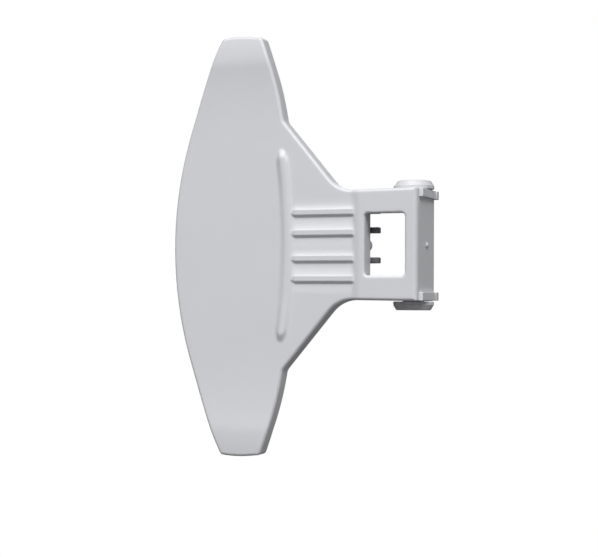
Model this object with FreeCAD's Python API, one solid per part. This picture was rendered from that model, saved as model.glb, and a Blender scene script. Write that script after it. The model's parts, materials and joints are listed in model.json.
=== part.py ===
import FreeCAD, Part
import os
from math import acos, atan2, cos, pi, sin, sqrt, tan

# Pull handle of a front-loading washing machine's door, with its pivot.
#
# Frame: +Z runs along the pivot axle, upwards with the handle mounted. The
# front faces -Y. +X points from the grip towards the pivot. The origin is on
# the axle, half way between the two pivot heads.
#
# The grip, the neck and the hinge box are one hollow moulding, open at the
# back. It is modelled as named regions that meet face to face. The bushes,
# the axle and the return spring are pieces of their own.

V = FreeCAD.Vector

# ---- driving dimensions, mm ----
LENGTH = 160.0            # tip to tip, along Z
GRIP_Y = -13.6            # front face of the grip and neck at mid-height
SHELL = 2.2               # wall behind the front face
RIM_DEPTH = 6.5           # front face to the rim's back edge, on the grip
RIM_WALL = 1.9            # rim and neck side-wall thickness
GRIP_BOW = 1.35           # how far the grip's ends stand forward of its middle
MIDDLE_HALF = 33.0        # half length of the grip's flat middle
TIP_CREASE_Z = 69.4       # height where each tip starts to bend back
TIP_BACK = 0.6            # how far each tip bends back
BEAD_X = -45.3            # middle of the long bead, where grip and neck meet
BEAD_WIDTH = 3.4
BEAD_BOW = 2.5            # how far its ends lie towards the grip

BOX_Y = -14.5             # front face of the hinge box
BOX_LEFT = -17.0          # hinge box, towards the grip
BOX_RIGHT = 6.0           # outside of the end wall
BOX_HALF = 20.7           # half height of the hinge box
NECK_HALF = 20.35         # half height of the neck where it meets the box
BOX_BACK = 7.3            # back edge of the cheeks
BOX_FRONT_WALL = 2.6
CHEEK = 3.0               # cheek plates that carry the bushes
CHEEK_R = 9.0             # round back corner of a cheek, about the axle
END_WALL = 2.1
WINDOW_LEFT = -14.55
WINDOW_RIGHT = 0.75
WINDOW_HALF = 11.4
WINDOW_CORNER = 1.3
CROSS_WALL = 2.4          # wall on the window's grip side
CROSS_WALL_BACK = -7.2
NECK_BACK = -5.9          # back edge of the neck's walls at the hinge box

PAD_PROUD = 1.1           # stop pads, from the end wall
PAD_LOW = 17.4
PAD_HIGH = 20.5
LUG_PROUD = 1.6           # stop lug at each pad's back
LUG_START = 5.0

RIDGE_ROWS = (-12.4, -4.8, 4.8, 12.4)
RIDGE_UPPER_FOOT = 3.4    # from a ridge's middle to the foot of its gentle side
RIDGE_LOWER_FOOT = 1.6    # and of its steep side
RIDGE_CREST = 0.75        # half width of its flat crest
RIDGE_TOP = -14.5
RIDGE_START = -43.4
RIDGE_END = -19.6
RIB_ROWS = (-12.85, -5.6, 5.6, 12.85)
RIB = 2.25                # thickness of a back rib and of a peg
PEG_END = -11.3
PEG_BACK = -4.4

AXLE_R = 2.0
AXLE_HALF = 23.7
SHANK_R = 4.0
RUNNING_GAP = 0.05        # radial, between a bush's shank and its cheek
HEAD_GAP = 0.15           # between a bush's head and its cheek
HEAD_R = 7.6
HEAD_TOP_R = 6.4
LAND_TOP = 22.1           # top of the head's short cylindrical land
HEAD_TOP = 24.1
SHANK_END = 17.9

WIRE = 0.8                # spring wire
COIL_R = 3.15             # mean radius of the coil
COIL_LOW = 13.1
COIL_HIGH = 17.3

TIP_Z = LENGTH / 2
BOX_INSIDE = BOX_HALF - CHEEK
BOX_WALL_BACK = BOX_Y + BOX_FRONT_WALL


# ---- helpers ----

def edge(points):
    """A straight edge from two points, or an arc through three."""
    vectors = [V(x, 0, z) for x, z in points]
    if len(vectors) == 2:
        return Part.LineSegment(*vectors).toShape()
    return Part.Arc(*vectors).toShape()


def block(x0, x1, y0, y1, z0, z1):
    return Part.makeBox(x1 - x0, y1 - y0, z1 - z0, V(x0, y0, z0))


def through_y(wire, y0, y1):
    """Extrude a wire drawn in the plane Y = 0 from y0 to y1."""
    face = Part.Face(wire)
    face.translate(V(0, y0, 0))
    return face.extrude(V(0, y1 - y0, 0))


def plan_plate(points, z0, z1):
    """Extrude a polygon of (x, y) points from z0 to z1."""
    vectors = [V(x, y, z0) for x, y in points]
    wire = Part.makePolygon(vectors + vectors[:1])
    return Part.Face(wire).extrude(V(0, 0, z1 - z0))


def rod(radius, z0, z1):
    return Part.makeCylinder(radius, z1 - z0, V(0, 0, z0))


def upside_down(shape):
    """Mirror a shape of the upper half to the lower half."""
    return shape.mirror(V(0, 0, 0), V(0, 0, 1))


# ---- outlines ----

def outline_corners():
    """Corners of the grip and neck's front outline as (x, z, radius), upper half."""
    return [(-78.46, 66.4, 222.0),
            (-72.3, 79.6, 2.0),
            (-65.5, TIP_Z + 0.25, 45.0),
            (-55.95, 79.15, 1.95),
            (-50.2, 63.95, 140.0),
            (-47.2, 47.04, 3.5),
            (-25.2, NECK_HALF, 12.0),
            (BOX_LEFT, NECK_HALF, 0.0)]


def corner_arc(before, corner, after, radius):
    """Start, middle and end of the arc that rounds a corner."""
    into = (before - corner).normalize()
    out = (after - corner).normalize()
    half = into.getAngle(out) / 2
    middle = (into + out).normalize() * (radius / sin(half) - radius)
    reach = radius / tan(half)
    return corner + into * reach, corner + middle, corner + out * reach


def front_outline():
    """Closed outline of the grip and neck, the same above and below."""
    upper = outline_corners()
    corners = [(-100.3, 0.0, 144.2)] + upper + [(x, -z, radius) for x, z, radius in reversed(upper)]
    points = [V(x, 0, z) for x, z, _ in corners]
    arcs = []
    for i, (_, _, radius) in enumerate(corners):
        around = points[i - 1], points[i], points[(i + 1) % len(points)]
        arcs.append(corner_arc(*around, radius) if radius else (points[i],))
    edges = []
    for i, arc in enumerate(arcs):
        if len(arc) == 3:
            edges.append(Part.Arc(*arc).toShape())
        edges.append(Part.LineSegment(arc[-1], arcs[(i + 1) % len(arcs)][0]).toShape())
    return Part.Wire(edges)


def face_band(front, back):
    """The layer between two depths behind the front face, which bows forward above and below."""
    crease_y = GRIP_Y - GRIP_BOW
    tip_y = crease_y + TIP_BACK
    reach = TIP_Z + 1

    def side(depth):
        def at(y, z):
            return V(0, y + depth, z)

        def arc(z_sign):
            rise_y = GRIP_Y - GRIP_BOW / 4
            rise_z = (MIDDLE_HALF + TIP_CREASE_Z) / 2
            return Part.Arc(at(crease_y, z_sign * TIP_CREASE_Z), at(rise_y, z_sign * rise_z),
                            at(GRIP_Y, z_sign * MIDDLE_HALF)).toShape()

        ends = at(tip_y, reach), at(tip_y, -reach)
        middle = Part.LineSegment(at(GRIP_Y, MIDDLE_HALF), at(GRIP_Y, -MIDDLE_HALF)).toShape()
        return ends, [Part.LineSegment(ends[0], at(crease_y, TIP_CREASE_Z)).toShape(), arc(1), middle,
                      arc(-1), Part.LineSegment(at(crease_y, -TIP_CREASE_Z), ends[1]).toShape()]

    (front_top, front_bottom), front_edges = side(front)
    (back_top, back_bottom), back_edges = side(back)
    wire = Part.Wire(front_edges
                     + [Part.LineSegment(front_bottom, back_bottom).toShape()]
                     + back_edges[::-1]
                     + [Part.LineSegment(back_top, front_top).toShape()])
    band = Part.Face(wire).extrude(V(110, 0, 0))
    band.translate(V(-100, 0, 0))
    return band


def cheek_outline():
    """Plan of a cheek behind the front wall: a lug about the axle that
    runs down to the neck along a tangent line."""
    foot = V(BOX_LEFT, NECK_BACK, 0)
    reach = acos(CHEEK_R / sqrt(foot.x ** 2 + foot.y ** 2))
    tangent = atan2(foot.y, foot.x) + 2 * pi - reach
    flat = pi - atan2(BOX_BACK, sqrt(CHEEK_R ** 2 - BOX_BACK ** 2))

    def on_lug(angle):
        return V(CHEEK_R * cos(angle), CHEEK_R * sin(angle), 0)

    start = on_lug(tangent)
    end = on_lug(flat)
    arc = Part.Arc(start, on_lug((tangent + flat) / 2), end).toShape()
    corners = [end, V(BOX_RIGHT, BOX_BACK, 0), V(BOX_RIGHT, BOX_WALL_BACK, 0),
               V(BOX_LEFT, BOX_WALL_BACK, 0), foot, start]
    lines = [Part.LineSegment(a, b).toShape() for a, b in zip(corners, corners[1:])]
    return Part.Wire([arc] + lines)


# ---- the moulding: grip ----

def grip_panels():
    """The grip's front wall: its flat middle, two bowed lengths and the bent tips."""
    outline = through_y(front_outline(), GRIP_Y - 3, GRIP_Y + 6)
    layer = outline.common(face_band(0, SHELL))

    def length(z0, z1):
        return layer.common(block(-100, BEAD_X, -30, 10, z0, z1))

    upper = length(MIDDLE_HALF, TIP_CREASE_Z)
    tip = length(TIP_CREASE_Z, 90)
    return {"grip_panel": length(-MIDDLE_HALF, MIDDLE_HALF),
            "upper_grip_panel": upper, "lower_grip_panel": upside_down(upper),
            "upper_tip_panel": tip, "lower_tip_panel": upside_down(tip)}


def rim_ring():
    """The wall that stands behind the outline's edge, open to the hinge box."""
    outer = front_outline()
    inner = outer.makeOffset2D(-RIM_WALL)
    hollow = through_y(inner, GRIP_Y - 4, 11)
    throat_half = NECK_HALF - RIM_WALL
    throat = block(BOX_LEFT - 2 * RIM_WALL, BOX_LEFT, GRIP_Y - 4, 11, -throat_half, throat_half)
    return through_y(outer, GRIP_Y - 3, 10).cut(hollow).cut(throat)


def grip_rims():
    """The grip's rim: outer edge, two tips and two wing edges."""
    rim = rim_ring().common(face_band(SHELL, RIM_DEPTH))
    tip_start = TIP_Z - 3.5
    middle = -64.0
    wing = rim.common(block(middle, BEAD_X, -30, 10, 0, tip_start))
    tip = rim.common(block(-100, BEAD_X, -30, 10, tip_start, 90))
    outer = rim.common(block(-100, middle, -30, 10, -tip_start, tip_start))
    return {"outer_rim": outer, "upper_tip_rim": tip, "lower_tip_rim": upside_down(tip),
            "upper_wing_rim": wing, "lower_wing_rim": upside_down(wing)}


def ring_bead():
    """The long raised bead between grip and neck, bowed towards the pivot."""
    half_length = 35.1
    reach = half_length + BEAD_WIDTH / 2
    end_x = BEAD_X - BEAD_BOW
    height = 1.2

    def side(offset):
        return (end_x + offset, -half_length), (BEAD_X + offset, 0), (end_x + offset, half_length)

    left = side(-BEAD_WIDTH / 2)
    right = side(BEAD_WIDTH / 2)
    wire = Part.Wire([edge(right), edge((right[2], (end_x, reach), left[2])),
                      edge(left[::-1]), edge((left[0], (end_x, -reach), right[0]))])
    bead = through_y(wire, GRIP_Y - 3, GRIP_Y + 1)
    return bead.common(face_band(-height, 0))


# ---- the moulding: neck ----

def neck_web():
    outline = through_y(front_outline(), GRIP_Y - 3, GRIP_Y + 6)
    layer = outline.common(face_band(0, SHELL))
    return layer.common(block(BEAD_X, BOX_LEFT, -30, 10, -90, 90))


def neck_wall():
    """Upper side wall of the neck, deeper towards the hinge box."""
    start_y = GRIP_Y + RIM_DEPTH
    depth = plan_plate([(BEAD_X, -20), (BOX_LEFT, -20), (BOX_LEFT, NECK_BACK), (BEAD_X, start_y)], 0, 90)
    return rim_ring().common(depth).cut(face_band(-5, SHELL))


def ridge(row):
    """A raised ridge on the neck, gentle above and steep below, pointed at the bead."""
    run_in = 2.4
    foot = GRIP_Y + 0.5
    low, high = -RIDGE_LOWER_FOOT, RIDGE_UPPER_FOOT
    corners = [(foot, low), (GRIP_Y, low), (RIDGE_TOP, -RIDGE_CREST),
               (RIDGE_TOP, RIDGE_CREST), (GRIP_Y, high), (foot, high)]
    section = [V(RIDGE_START, y, row + z) for y, z in corners]
    bar = Part.Face(Part.makePolygon(section + section[:1])).extrude(V(RIDGE_END - RIDGE_START, 0, 0))
    long_side = plan_plate([(RIDGE_START, foot), (RIDGE_START, GRIP_Y), (RIDGE_START + run_in, RIDGE_TOP),
                            (RIDGE_END, RIDGE_TOP), (RIDGE_END, foot)], row + low, row + high)
    tip = [(RIDGE_START, row), (RIDGE_START + run_in, row + low), (RIDGE_END, row + low),
           (RIDGE_END, row + high), (RIDGE_START + run_in, row + high), (RIDGE_START, row)]
    point = through_y(Part.makePolygon([V(x, 0, z) for x, z in tip]), RIDGE_TOP - 1, GRIP_Y + 1)
    return bar.common(long_side).common(point).cut(face_band(0, SHELL)).cut(ring_bead())


def back_rib(row):
    """A rib behind the neck, up to the cross wall and a peg."""
    start_x = BEAD_X + 1.8
    web_back = GRIP_Y + SHELL
    wall_left = WINDOW_LEFT - CROSS_WALL
    profile = [(start_x, web_back - 0.5), (wall_left, web_back - 0.5), (wall_left, PEG_BACK),
               (start_x, web_back + SHELL)]
    rib = plan_plate(profile, row - RIB / 2, row + RIB / 2)
    return rib.cut(face_band(0, SHELL))


def latch_peg(row):
    """A dark peg on the cross wall's back, which works the latch's hook."""
    return block(WINDOW_LEFT - CROSS_WALL, PEG_END, CROSS_WALL_BACK, PEG_BACK, row - RIB / 2, row + RIB / 2)


# ---- the moulding: hinge box ----

def front_bars():
    """The box's front wall as four bars around the window."""
    corner = WINDOW_CORNER
    wall = block(BOX_LEFT, BOX_RIGHT, BOX_Y, BOX_WALL_BACK, -BOX_HALF, BOX_HALF)
    opening = block(WINDOW_LEFT, WINDOW_RIGHT, BOX_Y, BOX_WALL_BACK, -WINDOW_HALF, WINDOW_HALF)
    upright = [e for e in opening.Edges if abs(e.Vertexes[0].Y - e.Vertexes[1].Y) > 1]
    wall = wall.cut(opening.makeFillet(corner, upright))
    top = wall.common(block(BOX_LEFT, BOX_RIGHT, -30, 10, WINDOW_HALF - corner, BOX_HALF))
    middle_z = WINDOW_HALF - corner
    left = wall.common(block(BOX_LEFT, WINDOW_LEFT, -30, 10, -middle_z, middle_z))
    right = wall.common(block(WINDOW_RIGHT, BOX_RIGHT, -30, 10, -middle_z, middle_z))
    return {"window_top_bar": top, "window_bottom_bar": upside_down(top),
            "window_left_bar": left, "window_right_bar": right}


def cross_wall():
    return block(WINDOW_LEFT - CROSS_WALL, WINDOW_LEFT, BOX_WALL_BACK, CROSS_WALL_BACK,
                 -BOX_INSIDE, BOX_INSIDE)


def centre_post():
    """Round post behind the cross wall's middle, level with its window side."""
    radius = 2.45
    length = PEG_BACK - (GRIP_Y + SHELL)
    post = Part.makeCylinder(radius, length, V(WINDOW_LEFT - radius, GRIP_Y + SHELL, 0), V(0, 1, 0))
    return post.cut(cross_wall()).cut(front_bars()["window_left_bar"])


def upper_cheek():
    face = Part.Face(cheek_outline())
    face.translate(V(0, 0, BOX_INSIDE))
    plate = face.extrude(V(0, 0, CHEEK))
    return plate.cut(rod(SHANK_R + RUNNING_GAP, BOX_INSIDE - 1, BOX_HALF + 1))


def end_wall():
    return block(BOX_RIGHT - END_WALL, BOX_RIGHT, BOX_WALL_BACK, BOX_BACK - 0.3, -BOX_INSIDE, BOX_INSIDE)


def upper_stop_pad():
    """Proud bar on the end wall with a stop lug at its back, which meets the door ring at rest."""
    bar = block(BOX_RIGHT, BOX_RIGHT + PAD_PROUD, BOX_Y + 2.4, LUG_START, PAD_LOW, PAD_HIGH)
    lug = block(BOX_RIGHT, BOX_RIGHT + LUG_PROUD, LUG_START, BOX_BACK + 0.4, PAD_LOW, PAD_HIGH)
    return bar.fuse(lug).removeSplitter()


# ---- the pivot ----

def upper_bush():
    """Pivot bush: a conical head outside the cheek and a shank through it."""
    profile = [(AXLE_R, SHANK_END), (SHANK_R, SHANK_END), (SHANK_R, BOX_HALF + HEAD_GAP),
               (HEAD_R, BOX_HALF + HEAD_GAP), (HEAD_R, LAND_TOP), (HEAD_TOP_R, HEAD_TOP),
               (AXLE_R, HEAD_TOP)]
    points = [V(r, 0, z) for r, z in profile]
    face = Part.Face(Part.makePolygon(points + points[:1]))
    return face.revolve(V(0, 0, 0), V(0, 0, 1), 360)


def axle_pin():
    pin = rod(AXLE_R, -AXLE_HALF, AXLE_HALF)
    rims = [e for e in pin.Edges if e.Length > 2 * AXLE_R and abs(e.CenterOfMass.z) > AXLE_HALF - 1]
    return pin.makeChamfer(0.3, rims)


def return_spring():
    """Torsion spring on the axle: the close-wound coil and its two legs."""
    outer = COIL_R + WIRE / 2
    inner = COIL_R - WIRE / 2
    coil = rod(outer, COIL_LOW, COIL_HIGH).cut(rod(inner, COIL_LOW - 1, COIL_HIGH + 1))
    front_reach = BOX_WALL_BACK + WIRE / 2 + 0.05
    front_leg = Part.makeCylinder(WIRE / 2, -front_reach, V(COIL_R, 0, COIL_HIGH - WIRE / 2), V(0, -1, 0))
    free_leg = Part.makeCylinder(WIRE / 2, 9.5, V(0, COIL_R, COIL_LOW + WIRE / 2), V(-1, 0, 0))
    return coil.fuse([front_leg, free_leg]).removeSplitter()


# ---- files ----

def nodes():
    parts = {"ring_bead": ring_bead(), "neck_web": neck_web(),
             "upper_neck_wall": neck_wall(), "lower_neck_wall": upside_down(neck_wall()),
             "cross_wall": cross_wall(), "centre_post": centre_post(), "end_wall": end_wall(),
             "upper_cheek": upper_cheek(), "lower_cheek": upside_down(upper_cheek()),
             "upper_stop_pad": upper_stop_pad(), "lower_stop_pad": upside_down(upper_stop_pad()),
             "upper_pivot_bush": upper_bush(), "lower_pivot_bush": upside_down(upper_bush()),
             "axle_pin": axle_pin(), "return_spring": return_spring()}
    parts.update(grip_panels())
    parts.update(grip_rims())
    parts.update(front_bars())
    for number, row in enumerate(RIDGE_ROWS, 1):
        parts["neck_ridge_%d" % number] = ridge(row)
    for number, row in enumerate(RIB_ROWS, 1):
        parts["back_rib_%d" % number] = back_rib(row)
        parts["latch_peg_%d" % number] = latch_peg(row)
    return parts


os.makedirs("parts", exist_ok=True)
for name, shape in nodes().items():
    shape.exportStep("parts/%s.step" % name)
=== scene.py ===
"""Looks of a washing machine's door handle: one moulding with a hollow back, and its sprung pivot."""
import bmesh
import bpy
import json
import math
import numpy as np
from mathutils import Matrix, Vector, geometry

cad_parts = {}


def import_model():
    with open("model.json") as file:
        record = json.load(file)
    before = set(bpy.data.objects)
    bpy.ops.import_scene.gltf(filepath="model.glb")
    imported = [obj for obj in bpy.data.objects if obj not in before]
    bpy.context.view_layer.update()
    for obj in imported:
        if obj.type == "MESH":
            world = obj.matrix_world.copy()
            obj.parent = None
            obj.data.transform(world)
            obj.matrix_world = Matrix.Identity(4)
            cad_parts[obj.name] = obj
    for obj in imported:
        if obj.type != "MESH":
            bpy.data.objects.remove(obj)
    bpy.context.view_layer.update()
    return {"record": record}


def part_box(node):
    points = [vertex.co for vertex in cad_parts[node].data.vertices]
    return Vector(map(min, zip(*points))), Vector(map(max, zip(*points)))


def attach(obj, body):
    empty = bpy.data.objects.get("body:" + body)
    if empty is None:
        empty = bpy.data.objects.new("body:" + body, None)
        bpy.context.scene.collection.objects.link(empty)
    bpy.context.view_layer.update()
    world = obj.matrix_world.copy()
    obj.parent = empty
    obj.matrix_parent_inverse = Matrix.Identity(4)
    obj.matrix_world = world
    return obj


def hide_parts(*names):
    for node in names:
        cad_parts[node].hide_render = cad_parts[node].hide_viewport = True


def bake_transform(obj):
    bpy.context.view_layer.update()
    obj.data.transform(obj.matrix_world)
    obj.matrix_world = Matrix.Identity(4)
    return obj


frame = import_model()

MM = 0.001                            # lengths are in millimetres until a mesh is made
HANDLE = "handle"
PIVOT = "pivot"


def low(node):
    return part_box(node)[0] / MM


def high(node):
    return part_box(node)[1] / MM


# ---- driving values, from the frame where it has them ----
TIP_Z = high("upper_tip_rim").z
FACE_Y = -13.6                        # front of the grip and neck at mid-height
GRIP_BOW = 1.35                       # how far the grip's ends stand forward
BOW_START = 33.0                      # half length of its flat middle
CREASE_Z = 69.4                       # where each tip starts to bend back
TIP_BEND = 0.0057                     # growth of a tip's bend, per mm
CREASE_BLEND = 0.18                   # depth over which the crease is softened
SKIN = 2.2                            # wall behind the front face
SKIN_BACK = FACE_Y + SKIN
RIM_DEPTH = 6.5                       # front face to the grip's back edge
RIM = 1.9                             # thickness of the grip's and neck's edge

BOX_Y = low("window_left_bar").y
BOX_SKIN_Y = high("window_left_bar").y
BOX_LEFT = low("window_left_bar").x
BOX_RIGHT = high("end_wall").x
BOX_HALF = high("upper_cheek").z
BOX_BACK = high("upper_cheek").y
BOX_CORNER = 0.9                      # upright corners between the cheeks and the end wall
CHEEK = BOX_HALF - low("upper_cheek").z
END_WALL = BOX_RIGHT - low("end_wall").x
END_BACK = high("end_wall").y
PAD_PROUD = 1.1                       # a stop pad's bar, from the end wall
PAD_LUG = 2.7                         # length of its lug, along Y
CHEEK_R = 9.0                         # round back corner of a cheek, about the axle
NECK_BACK = -5.9                      # back edge of the neck's wall at the box
NECK_HALF = 20.35                     # half height of the neck where it meets the box
WINDOW_LEFT = high("window_left_bar").x
WINDOW_RIGHT = low("window_right_bar").x
WINDOW_HALF = 11.4
WINDOW_CORNER = 1.3

FRONT_EDGE = 1.25                     # softened edges
END_EDGE = 1.8                        # the rounder one between the box's face and its end wall
END_DRAFT = 0.45                      # how far the end wall leans in towards its front
BACK_EDGE = 0.45
INNER_FILLET = 0.6                    # between the skin's back and the walls
WINDOW_EDGE = 0.95
WINDOW_BACK_EDGE = 0.3

BEAD_X = -45.3                        # long bead between grip and neck
BEAD_BOW = 2.5                        # how far its ends lie towards the grip
BEAD_HALF = 1.7                       # half its width
BEAD_REACH = 35.1                     # half its length, without its rounded ends
BEAD_HEIGHT = 0.85
BEAD_END_RISE = 0.45                  # extra height of its ends
BEAD_BLUNTNESS = 4                    # shape of its ends: 2 is round, more is blunter
BEAD_LEFT_FLANK = 2.8                 # widths of its sloping sides
BEAD_RIGHT_FLANK = 2.4
BEAD_END_FLANK = 4.0
RIDGE_ROWS = (-12.4, -4.8, 4.8, 12.4)
RIDGE_HEIGHT = 0.68
RIDGE_CREST = 0.75                    # half width of the crest
RIDGE_UPPER_FOOT = 6.0                # from a ridge's middle to the foot of its gentle side
RIDGE_LOWER_FOOT = 2.25               # and of its steep side
RIDGE_CURVE = 3.6                     # how late the gentle side rises: a power
RIDGE_TROUGH = 0.2                    # dip below each ridge
RIDGE_START = -44.6                   # under the bead, so each ridge leaves it as a point
RIDGE_RUN_IN = 2.6                    # length of the point
RIDGE_POINT = 0.4                     # share of the full width that the point starts with
RIDGE_END = -19.6
RIDGE_FADE = 1.4                      # length over which each ridge then fades out
RAMP_START = -20.4                    # the neck's face rises here to the box's face
RAMP_END = -16.2

AXLE_R = 2.0
SHANK_R = 4.0                         # a bush's shank, and its bore in the cheek
BORE_R = 4.05
HEAD_LAND = 22.1                      # top of a bush head's cylindrical land
HEAD_TOP_R = 6.4
HEAD_GAP = 0.15                       # between a bush's head and its cheek
WIRE = 0.8                            # the spring's wire, and its coil about the axle
COIL_R = 3.15
COIL_TURNS = 4.25
LEG_GAP = 0.3                         # straight end of each leg, short of the coil
GATE_R = 1.05                         # cut-off sprue on the end wall
GATE_HEIGHT = 0.55
GATE_Y = -2.6

# ---- spacing of the mesh's points, along X and Z ----
LEFT = -94.0                          # just past the grip's outer edge
NECK_REACH = 50.0                     # just past the neck's widest rows
RIDGE_REACH = max(RIDGE_ROWS) + 6.1   # rows with closer points, on either side of mid-height
RIDGE_STEPS = (0.5, 0.14)
NECK_STEPS = (0.8, 0.9)
GRIP_STEPS = (1.5, 1.2)
BACK_STEPS = (1.6, 1.6)
BEAD_ROW = 0.5                        # rows along the bead, and beside the ridges
BEAD_RIDGE_ROW = 0.22
BEAD_RUN_OUT = 2.8                    # rows go on past the bead's reach
BEAD_MARGIN = 1.35                    # band of closer columns on either side of a flank's middle
KEEP_OFF = 0.45                       # inner points stay this far from an edge
WALL_SHARES = np.linspace(0, 1, 7)[1:-1]    # rows across a wall
SHARP_ANGLE = 38                      # edges above this many degrees stay hard


# ---- numeric helpers ----

def smoothstep(value, start, end):
    t = np.clip((value - start) / (end - start), 0, 1)
    return t * t * (3 - 2 * t)


def smooth_max(a, b, width):
    near = np.clip(1 - np.abs(a - b) / width, 0, 1)
    return np.maximum(a, b) + near * near * width / 4


def quarter_turn(steps):
    """(sine, cosine) pairs from 0 to 90 degrees."""
    return [(math.sin(a), math.cos(a)) for a in np.linspace(0, math.pi / 2, steps + 1)]


# ---- the front face, as a depth over X and Z ----

def bowed_face(z):
    """The grip's face: flat in the middle, bowed forward beyond it, with each tip bent back."""
    reach = np.abs(z)
    share = np.maximum(reach - BOW_START, 0) / (CREASE_Z - BOW_START)
    bow = FACE_Y - GRIP_BOW * share ** 3
    tip = FACE_Y - GRIP_BOW + TIP_BEND * np.maximum(reach - CREASE_Z, 0) ** 2
    return smooth_max(bow, tip, CREASE_BLEND)


def bead_line(z):
    return BEAD_X - BEAD_BOW * (z / BEAD_REACH) ** 2


def bead_height(x, z):
    offset = x - bead_line(z)
    end = BEAD_REACH + BEAD_HALF - BEAD_HALF * np.clip(offset / BEAD_HALF, -1, 1) ** BEAD_BLUNTNESS
    flank = np.where(offset < 0, BEAD_LEFT_FLANK, BEAD_RIGHT_FLANK)
    across = 1 - smoothstep(np.abs(offset), BEAD_HALF - flank / 2, BEAD_HALF + flank / 2)
    height = BEAD_HEIGHT + BEAD_END_RISE * smoothstep(np.abs(z), BEAD_REACH / 2, BEAD_REACH)
    return height * across * (1 - smoothstep(np.abs(z), end - BEAD_END_FLANK, end))


def ridge_height(x, z):
    """Four ridges that start in a point at the bead and fade out before the box.

    Each one's upper side rises slowly and then steeply; its lower side is steep throughout."""
    start = smoothstep(x, RIDGE_START, RIDGE_START + RIDGE_RUN_IN)
    length = start * (1 - smoothstep(x, RIDGE_END, RIDGE_END + RIDGE_FADE))
    spread = RIDGE_POINT + (1 - RIDGE_POINT) * start
    height = np.zeros_like(x)
    for row in RIDGE_ROWS:
        above = (z - row - RIDGE_CREST * spread) / ((RIDGE_UPPER_FOOT - RIDGE_CREST) * spread)
        below = smoothstep(row - z, RIDGE_CREST * spread, RIDGE_LOWER_FOOT * spread)
        run_out = 1 - smoothstep(row - z, RIDGE_LOWER_FOOT, RIDGE_UPPER_FOOT)
        height += RIDGE_HEIGHT * (1 - np.clip(above, 0, 1)) ** RIDGE_CURVE * (1 - below)
        height -= RIDGE_TROUGH * below * run_out
    return height * length


def front_y(x, z):
    """The front face with its bead and ridges; no ridge shows on the bead."""
    bead = bead_height(x, z)
    relief = bead + ridge_height(x, z) * np.maximum(1 - bead / BEAD_HEIGHT, 0)
    ramp = smoothstep(x, RAMP_START, RAMP_END)
    return (bowed_face(z) - relief) * (1 - ramp) + BOX_Y * ramp


def skin_back_y(x, z):
    ramp = smoothstep(x, RAMP_START, RAMP_END)
    return (bowed_face(z) + SKIN) * (1 - ramp) + BOX_SKIN_Y * ramp


def cheek_back_y(x):
    """Back edge of a cheek: a line from the neck, tangent to its round corner, then flat."""
    foot = complex(BOX_LEFT, NECK_BACK)
    reach = math.acos(CHEEK_R / abs(foot))
    tangent = CHEEK_R * foot / abs(foot) * complex(math.cos(reach), -math.sin(reach))
    slope = (tangent.imag - foot.imag) / (tangent.real - foot.real)
    line = foot.imag + slope * (x - foot.real)
    corner = np.sqrt(np.maximum(CHEEK_R ** 2 - x ** 2, 0))
    return np.minimum(np.where(x < tangent.real, line, corner), BOX_BACK)


def edge_back_y(x, z):
    """Back edge of the moulding's outer wall, all the way round."""
    neck_slope = (NECK_BACK - FACE_Y - RIM_DEPTH) / (BOX_LEFT - BEAD_X)
    neck = FACE_Y + RIM_DEPTH + neck_slope * (x - BEAD_X)
    grip = bowed_face(z) + RIM_DEPTH
    onto_neck = smoothstep(x, BEAD_X - 3, BEAD_X + 5)
    edge = grip + (neck - grip) * onto_neck
    blend_start, blend_width = BOX_LEFT - 4, 1.5
    edge = np.where(x > blend_start, smooth_max(edge, cheek_back_y(x), blend_width), edge)
    onto_end = smoothstep(x, BOX_RIGHT - 1, BOX_RIGHT - 0.2)
    return np.where(x > 0, BOX_BACK + (END_BACK - BOX_BACK) * onto_end, edge)


# ---- outlines ----

def outline_corners():
    """Corners of the front outline: (x, z, radius, thickness of the edge that follows)."""
    upper = [(-78.46, 66.4, 222.0, RIM),
             (-72.3, 79.6, 2.0, RIM),
             (-65.5, TIP_Z + 0.25, 45.0, RIM),
             (-55.95, 79.15, 1.95, RIM),
             (-50.2, 63.95, 140.0, RIM),
             (-47.2, 47.04, 3.5, RIM),
             (-25.2, NECK_HALF, 12.0, CHEEK),
             (BOX_RIGHT, BOX_HALF, BOX_CORNER, END_WALL)]
    walls = [corner[3] for corner in upper[-2::-1]] + [RIM]
    lower = [(x, -z, radius, wall) for (x, z, radius, _), wall in zip(upper[::-1], walls)]
    return [(-100.3, 0.0, 144.2, RIM)] + upper + lower


def window_corners():
    return [(x, z, WINDOW_CORNER) for x, z in
            [(WINDOW_LEFT, -WINDOW_HALF), (WINDOW_LEFT, WINDOW_HALF),
             (WINDOW_RIGHT, WINDOW_HALF), (WINDOW_RIGHT, -WINDOW_HALF)]]


def moved_corner(corner, directions, insets):
    """Where two edges meet after each has moved inwards."""
    inward = -1j * np.array(directions)
    normals = np.column_stack([inward.real, inward.imag])
    shift = np.linalg.solve(normals, insets)
    return corner + complex(*shift)


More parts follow.
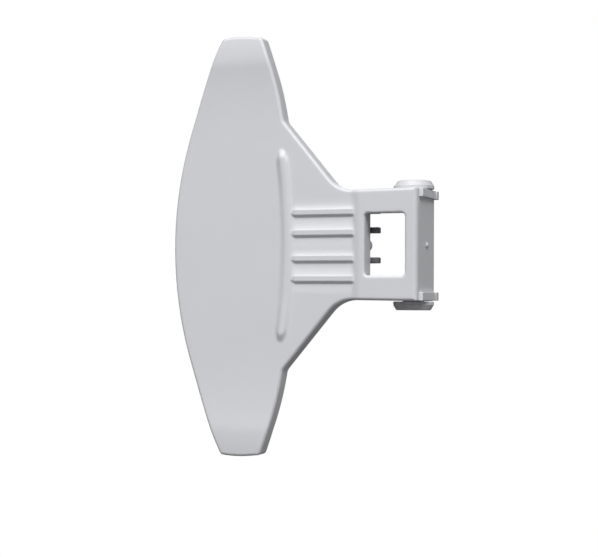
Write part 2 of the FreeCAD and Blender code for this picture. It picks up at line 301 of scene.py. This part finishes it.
def ring(corners, insets, spacing=1.2):
    """Points round a clockwise polygon with rounded corners, each edge moved inwards.

    The count of points doesn't depend on the insets, so the rings of one outline match."""
    size = len(corners)
    points = [complex(corner[0], corner[1]) for corner in corners]
    steps = [points[(i + 1) % size] - points[i] for i in range(size)]
    along = [step / abs(step) for step in steps]
    turns = [float(np.angle(along[i - 1] / along[i])) for i in range(size)]
    reaches = [corners[i][2] * math.tan(abs(turns[i]) / 2) for i in range(size)]
    arcs = []
    for i in range(size):
        corner = moved_corner(points[i], [along[i - 1], along[i]], [insets[i - 1], insets[i]])
        side = math.copysign(1, turns[i])
        radius = max(corners[i][2] - side * (insets[i - 1] + insets[i]) / 2, 0.01)
        start = corner - along[i - 1] * radius * math.tan(abs(turns[i]) / 2)
        normal = -1j * along[i - 1] * side
        count = max(8, math.ceil(corners[i][2] * abs(turns[i]) / spacing))
        angles = np.linspace(0, turns[i], count + 1)
        arcs.append(start + normal * radius * (1 - np.exp(-1j * angles)))
    loop = []
    for i in range(size):
        straight = abs(steps[i]) - reaches[i] - reaches[(i + 1) % size]
        count = max(1, math.ceil(straight / spacing))
        shares = np.arange(1, count) / count
        start, end = arcs[i][-1], arcs[(i + 1) % size][0]
        loop.append(arcs[i])
        loop.append(start + (end - start) * shares)
    loop = np.concatenate(loop)
    return np.column_stack([loop.real, loop.imag])


def even_ring(corners, inset, spacing=1.2):
    return ring(corners, [inset] * len(corners), spacing)


def inside(points, loop):
    """Which points lie inside a closed loop, by counting crossings."""
    crossings = np.zeros(len(points), int)
    x, z = points[:, 0], points[:, 1]
    for (x0, z0), (x1, z1) in zip(loop, np.roll(loop, -1, axis=0)):
        if z0 == z1:
            continue
        spans = (z0 > z) != (z1 > z)
        crossings += spans & (x < x0 + (z - z0) * (x1 - x0) / (z1 - z0))
    return crossings % 2 == 1


# ---- the moulding ----

def with_depth(loop, depth):
    return np.column_stack([loop[:, 0], depth, loop[:, 1]])


def outer_rows(corners, walls):
    """Rows of points from the front skin over the outer wall to the back skin."""
    base = even_ring(corners, 0)
    back = edge_back_y(base[:, 0], base[:, 1])
    edges = np.where(walls == END_WALL, END_EDGE, FRONT_EDGE)
    onto_end = smoothstep(base[:, 0], BOX_RIGHT - BOX_CORNER, BOX_RIGHT)
    edge_depth = FRONT_EDGE + (END_EDGE - FRONT_EDGE) * onto_end
    draft = np.where(walls == END_WALL, END_DRAFT, 0)
    edge = ring(corners, edges + draft)
    front = front_y(edge[:, 0], edge[:, 1])
    inner = ring(corners, walls + INNER_FILLET)
    inner_y = skin_back_y(inner[:, 0], inner[:, 1])
    rows = []

    def add(insets, depth):
        rows.append(with_depth(ring(corners, insets), depth))

    for sine, cosine in quarter_turn(7):
        add(draft + edges * (1 - sine), front + edge_depth * (1 - cosine))
    wall_front = front + edge_depth
    wall_back = back - BACK_EDGE
    for share in WALL_SHARES:
        add(draft * (1 - share), wall_front + (wall_back - wall_front) * share)
    for sine, cosine in quarter_turn(4):
        add(0 * walls + BACK_EDGE * (1 - cosine), back - BACK_EDGE * (1 - sine))
    for sine, cosine in quarter_turn(4):
        add(walls - BACK_EDGE * (1 - sine), back - BACK_EDGE * (1 - cosine))
    fillet_y = inner_y + INNER_FILLET
    for share in WALL_SHARES:
        add(walls, wall_back + (fillet_y - wall_back) * share)
    for sine, cosine in quarter_turn(4):
        add(walls + INNER_FILLET * (1 - cosine), inner_y + INNER_FILLET * (1 - sine))
    return rows


def window_rows(corners):
    """Rows of points through the window, from front to back."""
    rows = []

    def add(inset, depth):
        loop = even_ring(corners, inset, spacing=0.8)
        rows.append(with_depth(loop, np.full(len(loop), depth)))

    for sine, cosine in quarter_turn(5):
        add(-WINDOW_EDGE * (1 - sine), BOX_Y + WINDOW_EDGE * (1 - cosine))
    for sine, cosine in quarter_turn(3):
        add(-WINDOW_BACK_EDGE * (1 - cosine), BOX_SKIN_Y - WINDOW_BACK_EDGE * (1 - sine))
    return rows


def strip(rows):
    """Vertices and quads of a closed band through matching rows."""
    count = len(rows[0])
    faces = []
    for row in range(len(rows) - 1):
        for i in range(count):
            j = (i + 1) % count
            faces.append((row * count + i, row * count + j,
                          (row + 1) * count + j, (row + 1) * count + i))
    return np.concatenate(rows), faces


def grid(x0, x1, z_half, steps):
    x_step, z_step = steps
    xs, zs = np.meshgrid(np.arange(x0, x1, x_step), np.arange(-z_half, z_half + z_step / 2, z_step))
    return np.column_stack([xs.ravel(), zs.ravel()])


def bead_points():
    """Columns along the bead's two sides and its middle; rows closer together by the ridges."""
    end = BEAD_REACH + BEAD_RUN_OUT
    rows = np.concatenate([np.arange(-end, -RIDGE_REACH, BEAD_ROW),
                           np.arange(-RIDGE_REACH, RIDGE_REACH, BEAD_RIDGE_ROW),
                           np.arange(RIDGE_REACH, end, BEAD_ROW)])
    flank = np.linspace(BEAD_HALF - BEAD_MARGIN, BEAD_HALF + BEAD_MARGIN, 9)
    middle = np.linspace(flank[0] - 0.3, 0, 3)
    offsets = np.concatenate([flank, middle, -middle[:-1], -flank])
    return np.concatenate([np.column_stack([bead_line(rows) + offset, rows]) for offset in offsets])


def front_points():
    """Inner points of the front skin, closer together on the bead and the ridges.

    The small margins keep one region's points off the next one's."""
    ridges = grid(RIDGE_START + 0.4, RAMP_END + 0.4, RIDGE_REACH, RIDGE_STEPS)
    neck = grid(BEAD_X - 3, BOX_RIGHT, NECK_REACH, NECK_STEPS)
    grip = grid(LEFT, BEAD_X, TIP_Z, GRIP_STEPS)

    def off_bead(points, margin):
        beside = np.abs(points[:, 0] - bead_line(points[:, 1])) < BEAD_HALF + BEAD_MARGIN + margin
        along = np.abs(points[:, 1]) < BEAD_REACH + BEAD_RUN_OUT + margin
        return points[~(beside & along)]

    in_ridges = (neck[:, 0] < RAMP_END + 0.6) & (np.abs(neck[:, 1]) < RIDGE_REACH + 0.4)
    neck = off_bead(neck[~in_ridges], 0.4)
    neck = neck[neck[:, 0] > bead_line(neck[:, 1])]
    grip = off_bead(grip, 0.5)
    grip = grip[grip[:, 0] < bead_line(grip[:, 1]) - 0.5]
    return np.concatenate([bead_points(), off_bead(ridges, 0.15), neck, grip])


def skin(outer, hole, points, depth):
    """A sheet between two rings, triangulated over the points, with its depth from a formula."""
    flat = np.concatenate([outer, hole, points])
    edges = [(i, (i + 1) % len(outer)) for i in range(len(outer))]
    edges += [(len(outer) + i, len(outer) + (i + 1) % len(hole)) for i in range(len(hole))]
    triangles_inside = 1
    tolerance = 1e-5
    found = geometry.delaunay_2d_cdt([Vector(p) for p in flat], edges, [], triangles_inside, tolerance)
    flat = np.array([tuple(v) for v in found[0]])
    faces = np.array([tuple(face) for face in found[2]])
    faces = faces[~inside(flat[faces].mean(axis=1), hole)]
    return with_depth(flat, depth(flat[:, 0], flat[:, 1])), faces.tolist()


def handle_moulding():
    corners = outline_corners()
    walls = np.array([corner[3] for corner in corners])
    window = window_corners()
    around_window = even_ring(window, -WINDOW_EDGE - KEEP_OFF)

    def between(points, outline):
        return points[inside(points, outline) & ~inside(points, around_window)]

    front = between(front_points(), even_ring(corners, FRONT_EDGE + KEEP_OFF))
    inner_outline = ring(corners, walls + INNER_FILLET + KEEP_OFF)
    back = between(grid(LEFT, BOX_RIGHT, TIP_Z, BACK_STEPS), inner_outline)
    outer, opening = outer_rows(corners, walls), window_rows(window)
    sheets = [strip(outer), strip(opening),
              skin(outer[0][:, ::2], opening[0][:, ::2], front, front_y),
              skin(outer[-1][:, ::2], opening[-1][:, ::2], back, skin_back_y)]
    handle = make_mesh("handle_moulding", sheets)
    bore_end = BOX_HALF + 1
    cut(handle, lathe("bore", [(0, -bore_end), (BORE_R, -bore_end), (BORE_R, bore_end), (0, bore_end)]))
    return handle


# ---- mesh tools ----

def make_mesh(name, sheets):
    """One closed object from sheets of vertices (in mm) and faces that meet along their edges."""
    bm = bmesh.new()
    for points, faces in sheets:
        verts = [bm.verts.new(point * MM) for point in points]
        for face in faces:
            bm.faces.new([verts[i] for i in face])
    bmesh.ops.remove_doubles(bm, verts=bm.verts, dist=0.002 * MM)
    bmesh.ops.recalc_face_normals(bm, faces=bm.faces)
    return to_object(name, bm)


def to_object(name, bm):
    mesh = bpy.data.meshes.new(name)
    bm.to_mesh(mesh)
    bm.free()
    piece = bpy.data.objects.new(name, mesh)
    bpy.context.scene.collection.objects.link(piece)
    return piece


def apply_modifiers(piece):
    shaped = piece.evaluated_get(bpy.context.evaluated_depsgraph_get())
    mesh = bpy.data.meshes.new_from_object(shaped)
    piece.modifiers.clear()
    piece.data = mesh


def cut(piece, cutter):
    """Take the cutter's shape out of the piece."""
    boolean = piece.modifiers.new("cut", "BOOLEAN")
    boolean.object = cutter
    boolean.operation = "DIFFERENCE"
    boolean.solver = "EXACT"
    apply_modifiers(piece)
    bpy.data.objects.remove(cutter)


def soften(piece):
    """Smooth shading that keeps flat faces flat and hard corners hard."""
    piece.data.shade_smooth()
    piece.data.set_sharp_from_angle(angle=math.radians(SHARP_ANGLE))
    weighted = piece.modifiers.new("weighted", "WEIGHTED_NORMAL")
    weighted.keep_sharp = True
    apply_modifiers(piece)


def circle(steps):
    """Angles of equal steps round a circle."""
    return np.arange(steps) * 2 * math.pi / steps


def lathe(name, profile, closed=False, steps=96):
    """Turn a profile of (radius, z) points about the axle."""
    angles = circle(steps)
    rows = [np.column_stack([r * np.cos(angles), r * np.sin(angles), np.full(steps, z)])
            for r, z in profile]
    if closed:
        rows.append(rows[0])
    return make_mesh(name, [strip(rows)])


def prism(name, profile, z0, z1, edge):
    """Extrude a polygon of (x, y) points along Z, with every edge softened."""
    bm = bmesh.new()
    face = bm.faces.new([bm.verts.new((x * MM, y * MM, z0 * MM)) for x, y in profile])
    grown = bmesh.ops.extrude_face_region(bm, geom=[face])
    top = [item for item in grown["geom"] if isinstance(item, bmesh.types.BMVert)]
    bmesh.ops.translate(bm, verts=top, vec=(0, 0, (z1 - z0) * MM))
    bmesh.ops.recalc_face_normals(bm, faces=bm.faces)
    bmesh.ops.bevel(bm, geom=bm.edges[:], offset=edge * MM, segments=4, profile=0.5,
                    affect="EDGES", clamp_overlap=True)
    return to_object(name, bm)


def sweep(name, path, radius):
    """A round wire along a path, with its cut ends slightly chamfered."""
    chamfer = radius * 0.2
    path = np.array(path)
    tangents = np.gradient(path, axis=0)
    tangents /= np.linalg.norm(tangents, axis=1)[:, None]
    side = np.cross(tangents[0], (0, 0, 1.0))
    angles = circle(20)
    rows = []
    for i, (centre, tangent) in enumerate(zip(path, tangents)):
        side = side - tangent * side.dot(tangent)
        side /= np.linalg.norm(side)
        other = np.cross(tangent, side)
        spokes = np.outer(np.cos(angles), side) + np.outer(np.sin(angles), other)
        if i == 0:
            rows += [centre + spokes * 0, centre + spokes * (radius - chamfer)]
            centre = centre + tangent * chamfer
        if i == len(path) - 1:
            end = centre
            centre = centre - tangent * chamfer
        rows.append(centre + spokes * radius)
    rows += [end + spokes * (radius - chamfer), end + spokes * 0]
    return make_mesh(name, [strip(rows)])


# ---- pieces inside the moulding ----

def rectangle(x0, x1, y0, y1):
    return [(x0, y0), (x1, y0), (x1, y1), (x0, y1)]


def stop_pads():
    """Bars on the end wall, rooted inside it, each with a stop lug at its back."""
    root_x, bar_x = BOX_RIGHT - 0.6, BOX_RIGHT + PAD_PROUD
    pads = []
    for node in ("upper_stop_pad", "lower_stop_pad"):
        lowest, highest = low(node), high(node)
        lug_y = highest.y - PAD_LUG
        plan = [(root_x, lowest.y), (bar_x, lowest.y), (bar_x, lug_y), (highest.x, lug_y),
                (highest.x, highest.y), (root_x, highest.y)]
        pads.append((prism("soft_" + node, plan, lowest.z, highest.z, 0.45), node))
    return pads


def cross_wall_piece():
    """Wall on the window's grip side, set slightly into the skin and the cheeks."""
    lowest, highest = low("cross_wall"), high("cross_wall")
    proud = 0.015                     # so that it isn't in one plane with the window's edge
    plan = rectangle(lowest.x, highest.x + proud, BOX_Y + 1.1, highest.y)
    return prism("window_cross_wall", plan, lowest.z - 0.2, highest.z + 0.2, 0.3)


def behind_neck(prefix, plan_of):
    """Four prisms behind the neck, each from a plan made of its CAD box's two corners."""
    pieces = []
    for number in range(1, 5):
        node = "%s_%d" % (prefix, number)
        lowest, highest = low(node), high(node)
        plan = plan_of(lowest, highest)
        pieces.append((prism("soft_" + node, plan, lowest.z, highest.z, 0.4), node))
    return pieces


def back_rib_plan(lowest, highest):
    """From inside the skin up to the cross wall."""
    root_y = SKIN_BACK - 0.5
    return [(lowest.x, root_y), (highest.x, root_y), (highest.x, highest.y), (lowest.x, SKIN_BACK + SKIN)]


def latch_peg_plan(lowest, highest):
    return rectangle(lowest.x, highest.x, lowest.y - 0.2, highest.y)


def centre_post():
    lowest, highest = low("centre_post"), high("centre_post")
    radius = (highest.z - lowest.z) / 2
    middle_x, root_y, edge = WINDOW_LEFT - radius, SKIN_BACK - 0.6, 0.5
    angles = circle(48)
    rows = []

    def add(r, y):
        loop = np.column_stack([middle_x + r * np.cos(angles), r * np.sin(angles)])
        rows.append(with_depth(loop, np.full(len(loop), y)))

    add(0, highest.y)
    for sine, cosine in quarter_turn(5):
        add(radius - edge * (1 - sine), highest.y - edge * (1 - cosine))
    add(radius, root_y)
    add(0, root_y)
    return make_mesh("soft_centre_post", [strip(rows)])


def gate_mark():
    """The small cut-off sprue on the end wall, rooted inside it."""
    root = -0.3
    dome = [(GATE_R * cosine, GATE_HEIGHT * sine) for sine, cosine in quarter_turn(6)]
    mark = lathe("gate_mark", [(0, root), (GATE_R, root)] + dome, steps=32)
    turn = Matrix.Rotation(math.pi / 2, 4, "Y")
    mark.data.transform(Matrix.Translation((BOX_RIGHT * MM, GATE_Y * MM, 0)) @ turn)
    return mark


# ---- the pivot ----

def bush(name, side):
    """Pivot bush: a conical head with a short land, and a shank through the cheek."""
    node = name + "_pivot_bush"
    shank_end = min(abs(low(node).z), abs(high(node).z))
    head_top = max(abs(low(node).z), abs(high(node).z))
    head_r = high(node).x
    base = BOX_HALF + HEAD_GAP
    corners = [(AXLE_R, shank_end, 0.3), (AXLE_R, head_top, 0.35), (HEAD_TOP_R, head_top, 0.6),
               (head_r, HEAD_LAND, 0.35), (head_r, base, 0.3), (SHANK_R, base, 0.2),
               (SHANK_R, shank_end, 0.4)]
    profile = even_ring(corners, 0, spacing=0.4) * (1, side)
    return lathe("soft_" + node, [tuple(point) for point in profile], closed=True, steps=128), node


def axle():
    """Drawn pin with chamfered ends, whose edges are slightly eased."""
    reach = high("axle_pin").z
    chamfer, ease = 0.3, 0.02
    half = [(0, reach), (AXLE_R - chamfer - 4 * ease, reach), (AXLE_R - chamfer, reach - ease),
            (AXLE_R - ease, reach - chamfer), (AXLE_R, reach - chamfer - 5 * ease)]
    return lathe("turned_axle", half + [(r, -z) for r, z in half[::-1]])


def spring():
    """Torsion spring: one leg bears on the box's front wall, the coil goes round the axle."""
    lowest, highest = low("return_spring"), high("return_spring")
    start_z, end_z = highest.z - WIRE / 2, lowest.z + WIRE / 2
    front_leg = [(COIL_R, y, start_z) for y in np.linspace(lowest.y, -LEG_GAP, 16)]
    angles = np.linspace(0, COIL_TURNS * 2 * math.pi, int(COIL_TURNS * 48) + 1)
    coil = [(COIL_R * math.cos(a), COIL_R * math.sin(a), start_z + (end_z - start_z) * a / angles[-1])
            for a in angles]
    free_leg = [(x, COIL_R, end_z) for x in np.linspace(-LEG_GAP, lowest.x, 14)]
    return sweep("wound_spring", front_leg + coil + free_leg, WIRE / 2)


# ---- materials ----

class Nodes:
    """Adds nodes to a material and links them."""

    def __init__(self, name):
        self.material = bpy.data.materials.new(name)
        self.material.use_nodes = True
        self.tree = self.material.node_tree
        self.shader = self.tree.nodes["Principled BSDF"]
        self.place = self.add("ShaderNodeTexCoord").outputs["Object"]

    def add(self, kind, inputs=None, **settings):
        node = self.tree.nodes.new(kind)
        for name, value in settings.items():
            setattr(node, name, value)
        for name, value in (inputs or {}).items():
            self.fill(node.inputs[name], value)
        return node

    def fill(self, socket, value):
        if isinstance(value, bpy.types.NodeSocket):
            self.tree.links.new(value, socket)
        else:
            socket.default_value = value

    def set(self, name, value):
        self.fill(self.shader.inputs[name], value)

    def stretched(self, scale):
        return self.add("ShaderNodeMapping", {"Vector": self.place, "Scale": scale}).outputs["Vector"]

    def noise(self, scale, detail=2.0, roughness=0.5, place=None):
        node = self.add("ShaderNodeTexNoise", {"Vector": place or self.place, "Scale": scale,
                                               "Detail": detail, "Roughness": roughness})
        return node.outputs["Fac"]

    def spread(self, value, low_value, high_value):
        """Map a noise value's usual span onto a range."""
        node = self.add("ShaderNodeMapRange", {"Value": value, "From Min": 0.3, "From Max": 0.7,
                                               "To Min": low_value, "To Max": high_value})
        return node.outputs["Result"]

    def blend(self, factor, first, second):
        """Mix two colours, by the colour sockets A and B of the Mix node."""
        node = self.add("ShaderNodeMix", data_type="RGBA")
        self.tree.links.new(factor, node.inputs["Factor"])
        for socket, value in ((node.inputs[6], first), (node.inputs[7], second)):
            is_colour = isinstance(value, (tuple, list))
            self.fill(socket, (*value, 1) if is_colour else value)
        return node.outputs[2]

    def bump(self, height, distance, strength, normal=None):
        inputs = {"Height": height, "Distance": distance, "Strength": strength}
        if normal:
            inputs["Normal"] = normal
        return self.add("ShaderNodeBump", inputs).outputs["Normal"]


def moulded_plastic(name, light, shade, roughness, grain):
    """Satin plastic: spark-eroded grain, faint flow mottling and a slow ripple."""
    nodes = Nodes(name)
    mottle = nodes.spread(nodes.noise(38.0, 3.0), 0.0, 1.0)
    pigment = nodes.spread(nodes.noise(900.0, 2.0), 0.0, 0.35)
    colour = nodes.blend(mottle, light, shade)
    nodes.set("Base Color", nodes.blend(pigment, colour, [channel * 0.985 for channel in shade]))
    nodes.set("Roughness", nodes.spread(nodes.noise(420.0, 4.0), roughness - 0.04, roughness + 0.05))
    ripple = nodes.bump(nodes.noise(55.0, 1.0), 0.00005, 0.5)
    nodes.set("Normal", nodes.bump(nodes.noise(3600.0, 3.0, 0.6), grain, 0.6, ripple))
    nodes.set("IOR", 1.52)
    return nodes.material


def turned_plastic(name, light, shade):
    """Acetal with the fine rings that a turned mould cavity leaves."""
    nodes = Nodes(name)
    mottle = nodes.spread(nodes.noise(90.0, 2.0), 0.0, 1.0)
    nodes.set("Base Color", nodes.blend(mottle, light, shade))
    nodes.set("Roughness", nodes.spread(nodes.noise(700.0, 3.0), 0.30, 0.42))
    waves = {"Vector": nodes.place, "Scale": 1600.0, "Distortion": 0.6, "Detail": 1.0}
    rings = nodes.add("ShaderNodeTexWave", waves, wave_type="BANDS", bands_direction="Z")
    fine = nodes.bump(rings.outputs["Fac"], 0.000006, 0.5)
    nodes.set("Normal", nodes.bump(nodes.noise(3000.0, 2.0), 0.000006, 0.5, fine))
    nodes.set("IOR", 1.48)
    return nodes.material


def drawn_steel(name, light, shade, stretch, roughness):
    """Drawn steel: fine lines along the metal and slightly duller patches."""
    nodes = Nodes(name)
    lines = nodes.noise(1.0, 4.0, 0.6, nodes.stretched(stretch))
    patches = nodes.spread(nodes.noise(260.0, 3.0), 0.0, 1.0)
    nodes.set("Base Color", nodes.blend(patches, light, shade))
    nodes.set("Metallic", 1.0)
    nodes.set("Roughness", nodes.spread(lines, roughness - 0.06, roughness + 0.08))
    nodes.set("Normal", nodes.bump(lines, 0.000004, 0.7))
    return nodes.material


def floor_paint():
    nodes = Nodes("pale_floor")
    shade = nodes.spread(nodes.noise(6.0, 3.0), 0.0, 1.0)
    nodes.set("Base Color", nodes.blend(shade, (0.86, 0.86, 0.86), (0.84, 0.84, 0.84)))
    nodes.set("Roughness", nodes.spread(nodes.noise(300.0, 3.0), 0.55, 0.7))
    nodes.set("Normal", nodes.bump(nodes.noise(800.0, 2.0), 0.0001, 0.3))
    return nodes.material


# ---- putting the object together ----

def finish_piece(piece, body, material, nodes):
    soften(piece)
    piece.data.materials.append(material)
    if nodes:
        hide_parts(*nodes)
    if body:
        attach(piece, body)


def shell_nodes():
    """CAD nodes of the handle body that the one moulded skin stands for."""
    separate = {"upper_stop_pad", "lower_stop_pad", "cross_wall", "centre_post"}
    rows = ("back_rib", "latch_peg")
    members = frame["record"]["behaviour"]["bodies"][HANDLE]
    return [node for node in members if node not in separate and not node.startswith(rows)]


def build_object():
    handle_plastic = moulded_plastic("handle_plastic", (0.767, 0.773, 0.802), (0.747, 0.753, 0.784),
                                     roughness=0.42, grain=0.00001)
    # painted shade: the latch pegs are the same pale plastic as the moulding, and this dark grey paints
    # the shadow they sit in behind the window
    peg_plastic = moulded_plastic("peg_plastic", (0.15, 0.15, 0.16), (0.12, 0.12, 0.13),
                                  roughness=0.5, grain=0.00002)
    bush_plastic = turned_plastic("bush_plastic", (0.715, 0.715, 0.735), (0.69, 0.69, 0.71))
    axle_steel = drawn_steel("axle_steel", (0.60, 0.60, 0.58), (0.52, 0.52, 0.51),
                             stretch=(5000, 5000, 60), roughness=0.28)
    spring_steel = drawn_steel("spring_steel", (0.40, 0.40, 0.40), (0.30, 0.30, 0.31),
                               stretch=(2500, 2500, 4000), roughness=0.34)

    finish_piece(handle_moulding(), HANDLE, handle_plastic, shell_nodes())
    inner = stop_pads() + behind_neck("back_rib", back_rib_plan)
    inner += [(cross_wall_piece(), "cross_wall"), (centre_post(), "centre_post")]
    for piece, node in inner:
        finish_piece(piece, HANDLE, handle_plastic, [node])
    finish_piece(gate_mark(), HANDLE, handle_plastic, [])
    # the latch pegs take the dark grey that paints their shade
    for piece, node in behind_neck("latch_peg", latch_peg_plan):
        finish_piece(piece, HANDLE, peg_plastic, [node])
    for name, side in (("upper", 1), ("lower", -1)):
        piece, node = bush(name, side)
        finish_piece(piece, PIVOT, bush_plastic, [node])
    finish_piece(axle(), PIVOT, axle_steel, ["axle_pin"])
    coil = spring()
    finish_piece(coil, None, spring_steel, ["return_spring"])
    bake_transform(coil)


# ---- studio ----

def aimed_at(thing, place, target):
    thing.location = place
    thing.rotation_euler = (Vector(target) - Vector(place)).to_track_quat("-Z", "Y").to_euler()
    bpy.context.scene.collection.objects.link(thing)


def around(target, azimuth, elevation, distance):
    """A place at an azimuth from the front (towards +X) and an elevation, in degrees."""
    a, e = math.radians(azimuth), math.radians(elevation)
    offset = Vector((math.sin(a) * math.cos(e), -math.cos(a) * math.cos(e), math.sin(e)))
    return Vector(target) + offset * distance


CAMERA_TARGET = (-0.03998, -0.0150, -0.01246)
CAMERA_LENS = 80.4
CAMERA_ROLL = 0.265                   # degrees


def camera():
    data = bpy.data.cameras.new("camera")
    data.lens = CAMERA_LENS
    data.sensor_width = 36.0
    data.clip_start = 0.01
    view = bpy.data.objects.new("camera", data)
    place = around(CAMERA_TARGET, azimuth=21.29, elevation=-0.885, distance=0.4985)
    aimed_at(view, place, CAMERA_TARGET)
    view.rotation_euler.rotate_axis("Z", math.radians(CAMERA_ROLL))
    bpy.context.scene.camera = view


LIGHT_TARGET = (-0.04, -0.01, 0)
LIGHTS = (                            # name, azimuth, elevation, distance, size, power in watts
    ("key_left", -20, 45, 2.5, 1.2, 23.5),
    ("key", 5, 54, 2.5, 1.2, 28.0),
    ("key_right", 45, 45, 2.5, 1.2, 30.0),
    ("low_front", -10, -30, 0.4, 0.2, 0.13),
    ("right", 85, -15, 1.0, 0.5, 0.84),
    ("back_right", 140, 10, 2.5, 1.2, 6.0),
    ("back_left", 205, 10, 2.5, 1.2, 20.0),
)


def lights():
    for name, azimuth, elevation, distance, size, power in LIGHTS:
        data = bpy.data.lights.new(name, "AREA")
        data.size = size
        data.energy = power
        place = around(LIGHT_TARGET, azimuth, elevation, distance)
        aimed_at(bpy.data.objects.new(name, data), place, LIGHT_TARGET)


def world():
    """White where the camera looks past the object; it gives no light."""
    setting = bpy.data.worlds.new("studio")
    bpy.context.scene.world = setting
    setting.use_nodes = True
    tree = setting.node_tree
    tree.nodes.clear()
    path = tree.nodes.new("ShaderNodeLightPath")
    white = tree.nodes.new("ShaderNodeBackground")
    white.inputs["Color"].default_value = (1, 1, 1, 1)
    output = tree.nodes.new("ShaderNodeOutputWorld")
    tree.links.new(path.outputs["Is Camera Ray"], white.inputs["Strength"])
    tree.links.new(white.outputs["Background"], output.inputs["Surface"])


def floor():
    """A pale round table top below the handle, out of the camera's view."""
    top, radius, edge, thickness = -900, 400, 4, 20
    profile = [(0, top), (radius - edge, top), (radius, top - edge),
               (radius, top - thickness), (0, top - thickness)]
    piece = lathe("floor", profile, steps=128)
    soften(piece)
    piece.data.materials.append(floor_paint())


build_object()
camera()
lights()
world()
floor()
bpy.context.scene.view_settings.view_transform = "Standard"
